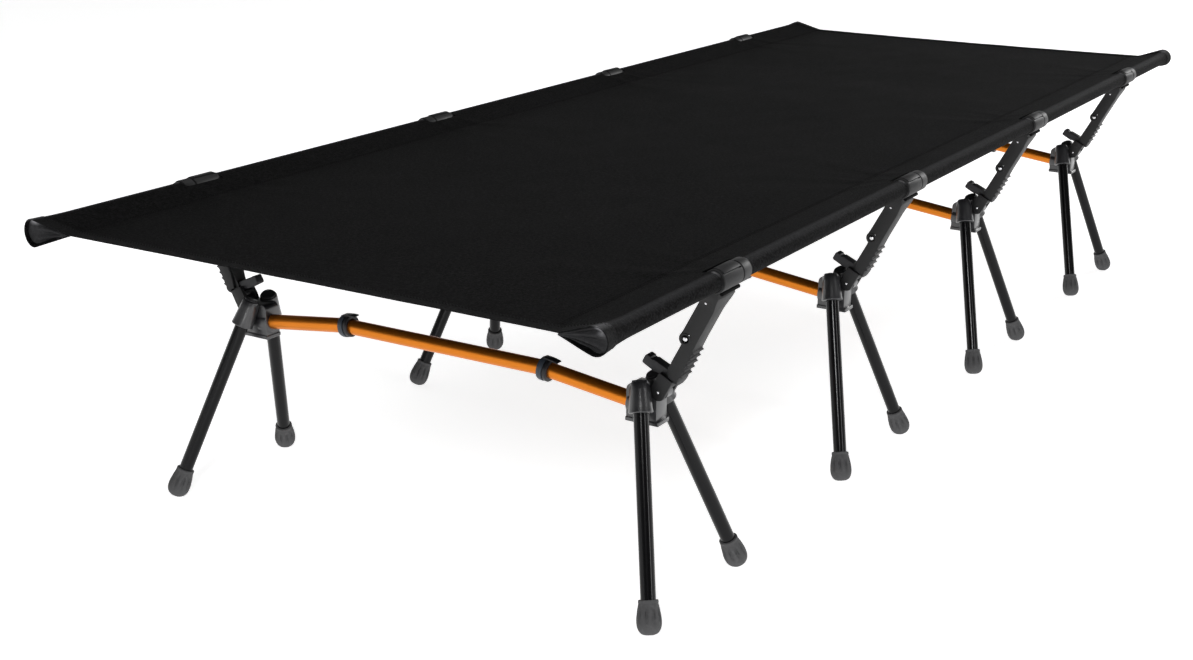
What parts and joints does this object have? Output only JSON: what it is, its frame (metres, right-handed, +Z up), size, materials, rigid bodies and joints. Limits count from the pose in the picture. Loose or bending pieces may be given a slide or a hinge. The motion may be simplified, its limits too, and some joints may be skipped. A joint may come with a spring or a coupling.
{
  "type": "camping cot",
  "caption": "Low camping cot with a stretched fabric bed on side poles, crossbars with splayed legs, and over-centre levers that lean out to release the fabric.",
  "frame": {"origin": "on the floor under the middle of the bed", "axes": "+X across the bed to its right-hand side, +Y along the bed to its far end, +Z up"},
  "size_m": [0.781, 2.009, 0.3936],
  "materials": {
    "canvas": "black plain-woven polyester, stretched",
    "pole": "dark grey anodised tube with grey moulded collars",
    "crossbar": "orange anodised tube with blue-grey and black joint rings",
    "hub": "glossy black moulding",
    "leg": "glossy black tube with a matte black foot",
    "lever": "dark grey moulding",
    "tab": "black moulding"
  },
  "bodies": {
    "cot": {"canvas": "canvas", "pole_right": "pole", "pole_left": "pole", "crossbar_1": "crossbar", "crossbar_2": "crossbar", "crossbar_3": "crossbar", "crossbar_4": "crossbar", "hub_right_1": "hub", "hub_left_1": "hub", "hub_right_2": "hub", "hub_left_2": "hub", "hub_right_3": "hub", "hub_left_3": "hub", "hub_right_4": "hub", "hub_left_4": "hub", "leg_right_1_near": "leg", "leg_right_1_far": "leg", "leg_left_1_near": "leg", "leg_left_1_far": "leg", "leg_right_2_near": "leg", "leg_right_2_far": "leg", "leg_left_2_near": "leg", "leg_left_2_far": "leg", "leg_right_3_near": "leg", "leg_right_3_far": "leg", "leg_left_3_near": "leg", "leg_left_3_far": "leg", "leg_right_4_near": "leg", "leg_right_4_far": "leg", "leg_left_4_near": "leg", "leg_left_4_far": "leg"},
    "arm_right_1": {"arm_right_1": "lever"},
    "lever_right_1": {"lever_right_1": "lever"},
    "tab_right_1": {"tab_right_1": "tab"},
    "arm_left_1": {"arm_left_1": "lever"},
    "lever_left_1": {"lever_left_1": "lever"},
    "tab_left_1": {"tab_left_1": "tab"},
    "arm_right_2": {"arm_right_2": "lever"},
    "lever_right_2": {"lever_right_2": "lever"},
    "tab_right_2": {"tab_right_2": "tab"},
    "arm_left_2": {"arm_left_2": "lever"},
    "lever_left_2": {"lever_left_2": "lever"},
    "tab_left_2": {"tab_left_2": "tab"},
    "arm_right_3": {"arm_right_3": "lever"},
    "lever_right_3": {"lever_right_3": "lever"},
    "tab_right_3": {"tab_right_3": "tab"},
    "arm_left_3": {"arm_left_3": "lever"},
    "lever_left_3": {"lever_left_3": "lever"},
    "tab_left_3": {"tab_left_3": "tab"},
    "arm_right_4": {"arm_right_4": "lever"},
    "lever_right_4": {"lever_right_4": "lever"},
    "tab_right_4": {"tab_right_4": "tab"},
    "arm_left_4": {"arm_left_4": "lever"},
    "lever_left_4": {"lever_left_4": "lever"},
    "tab_left_4": {"tab_left_4": "tab"}
  },
  "joints": [
    {"name": "arm_lean_right_1", "type": "hinge", "parent": "cot", "child": "arm_right_1", "pos_m": [0.3015, -0.744, 0.2375], "axis": [0, 1, 0], "range_deg": [0, 54]},
    {"name": "lever_swing_right_1", "type": "hinge", "parent": "arm_right_1", "child": "lever_right_1", "pos_m": [0.33402, -0.744, 0.30402], "axis": [0, -1, 0], "range_deg": [0, 100]},
    {"name": "tab_press_right_1", "type": "hinge", "parent": "arm_right_1", "child": "tab_right_1", "pos_m": [0.30652, -0.744, 0.25795], "axis": [0, -1, 0], "range_deg": [0, 12], "stiffness_Nm_per_rad": 0.02, "springref_deg": -14.32},
    {"name": "arm_lean_left_1", "type": "hinge", "parent": "cot", "child": "arm_left_1", "pos_m": [-0.3015, -0.744, 0.2375], "axis": [0, -1, 0], "range_deg": [0, 54]},
    {"name": "lever_swing_left_1", "type": "hinge", "parent": "arm_left_1", "child": "lever_left_1", "pos_m": [-0.33402, -0.744, 0.30402], "axis": [0, 1, 0], "range_deg": [0, 100]},
    {"name": "tab_press_left_1", "type": "hinge", "parent": "arm_left_1", "child": "tab_left_1", "pos_m": [-0.30652, -0.744, 0.25795], "axis": [0, 1, 0], "range_deg": [0, 12], "stiffness_Nm_per_rad": 0.02, "springref_deg": -14.32},
    {"name": "arm_lean_right_2", "type": "hinge", "parent": "cot", "child": "arm_right_2", "pos_m": [0.3015, -0.248, 0.2375], "axis": [0, 1, 0], "range_deg": [0, 54]},
    {"name": "lever_swing_right_2", "type": "hinge", "parent": "arm_right_2", "child": "lever_right_2", "pos_m": [0.33402, -0.248, 0.30402], "axis": [0, -1, 0], "range_deg": [0, 100]},
    {"name": "tab_press_right_2", "type": "hinge", "parent": "arm_right_2", "child": "tab_right_2", "pos_m": [0.30652, -0.248, 0.25795], "axis": [0, -1, 0], "range_deg": [0, 12], "stiffness_Nm_per_rad": 0.02, "springref_deg": -14.32},
    {"name": "arm_lean_left_2", "type": "hinge", "parent": "cot", "child": "arm_left_2", "pos_m": [-0.3015, -0.248, 0.2375], "axis": [0, -1, 0], "range_deg": [0, 54]},
    {"name": "lever_swing_left_2", "type": "hinge", "parent": "arm_left_2", "child": "lever_left_2", "pos_m": [-0.33402, -0.248, 0.30402], "axis": [0, 1, 0], "range_deg": [0, 100]},
    {"name": "tab_press_left_2", "type": "hinge", "parent": "arm_left_2", "child": "tab_left_2", "pos_m": [-0.30652, -0.248, 0.25795], "axis": [0, 1, 0], "range_deg": [0, 12], "stiffness_Nm_per_rad": 0.02, "springref_deg": -14.32},
    {"name": "arm_lean_right_3", "type": "hinge", "parent": "cot", "child": "arm_right_3", "pos_m": [0.3015, 0.248, 0.2375], "axis": [0, 1, 0], "range_deg": [0, 54]},
    {"name": "lever_swing_right_3", "type": "hinge", "parent": "arm_right_3", "child": "lever_right_3", "pos_m": [0.33402, 0.248, 0.30402], "axis": [0, -1, 0], "range_deg": [0, 100]},
    {"name": "tab_press_right_3", "type": "hinge", "parent": "arm_right_3", "child": "tab_right_3", "pos_m": [0.30652, 0.248, 0.25795], "axis": [0, -1, 0], "range_deg": [0, 12], "stiffness_Nm_per_rad": 0.02, "springref_deg": -14.32},
    {"name": "arm_lean_left_3", "type": "hinge", "parent": "cot", "child": "arm_left_3", "pos_m": [-0.3015, 0.248, 0.2375], "axis": [0, -1, 0], "range_deg": [0, 54]},
    {"name": "lever_swing_left_3", "type": "hinge", "parent": "arm_left_3", "child": "lever_left_3", "pos_m": [-0.33402, 0.248, 0.30402], "axis": [0, 1, 0], "range_deg": [0, 100]},
    {"name": "tab_press_left_3", "type": "hinge", "parent": "arm_left_3", "child": "tab_left_3", "pos_m": [-0.30652, 0.248, 0.25795], "axis": [0, 1, 0], "range_deg": [0, 12], "stiffness_Nm_per_rad": 0.02, "springref_deg": -14.32},
    {"name": "arm_lean_right_4", "type": "hinge", "parent": "cot", "child": "arm_right_4", "pos_m": [0.3015, 0.744, 0.2375], "axis": [0, 1, 0], "range_deg": [0, 54]},
    {"name": "lever_swing_right_4", "type": "hinge", "parent": "arm_right_4", "child": "lever_right_4", "pos_m": [0.33402, 0.744, 0.30402], "axis": [0, -1, 0], "range_deg": [0, 100]},
    {"name": "tab_press_right_4", "type": "hinge", "parent": "arm_right_4", "child": "tab_right_4", "pos_m": [0.30652, 0.744, 0.25795], "axis": [0, -1, 0], "range_deg": [0, 12], "stiffness_Nm_per_rad": 0.02, "springref_deg": -14.32},
    {"name": "arm_lean_left_4", "type": "hinge", "parent": "cot", "child": "arm_left_4", "pos_m": [-0.3015, 0.744, 0.2375], "axis": [0, -1, 0], "range_deg": [0, 54]},
    {"name": "lever_swing_left_4", "type": "hinge", "parent": "arm_left_4", "child": "lever_left_4", "pos_m": [-0.33402, 0.744, 0.30402], "axis": [0, 1, 0], "range_deg": [0, 100]},
    {"name": "tab_press_left_4", "type": "hinge", "parent": "arm_left_4", "child": "tab_left_4", "pos_m": [-0.30652, 0.744, 0.25795], "axis": [0, 1, 0], "range_deg": [0, 12], "stiffness_Nm_per_rad": 0.02, "springref_deg": -14.32}
  ],
  "couplings": [
    {"joint": "arm_lean_right_1", "follows": "lever_swing_right_1", "ratio": 0.5355},
    {"joint": "arm_lean_left_1", "follows": "lever_swing_left_1", "ratio": 0.5355},
    {"joint": "arm_lean_right_2", "follows": "lever_swing_right_2", "ratio": 0.5355},
    {"joint": "arm_lean_left_2", "follows": "lever_swing_left_2", "ratio": 0.5355},
    {"joint": "arm_lean_right_3", "follows": "lever_swing_right_3", "ratio": 0.5355},
    {"joint": "arm_lean_left_3", "follows": "lever_swing_left_3", "ratio": 0.5355},
    {"joint": "arm_lean_right_4", "follows": "lever_swing_right_4", "ratio": 0.5355},
    {"joint": "arm_lean_left_4", "follows": "lever_swing_left_4", "ratio": 0.5355}
  ]
}
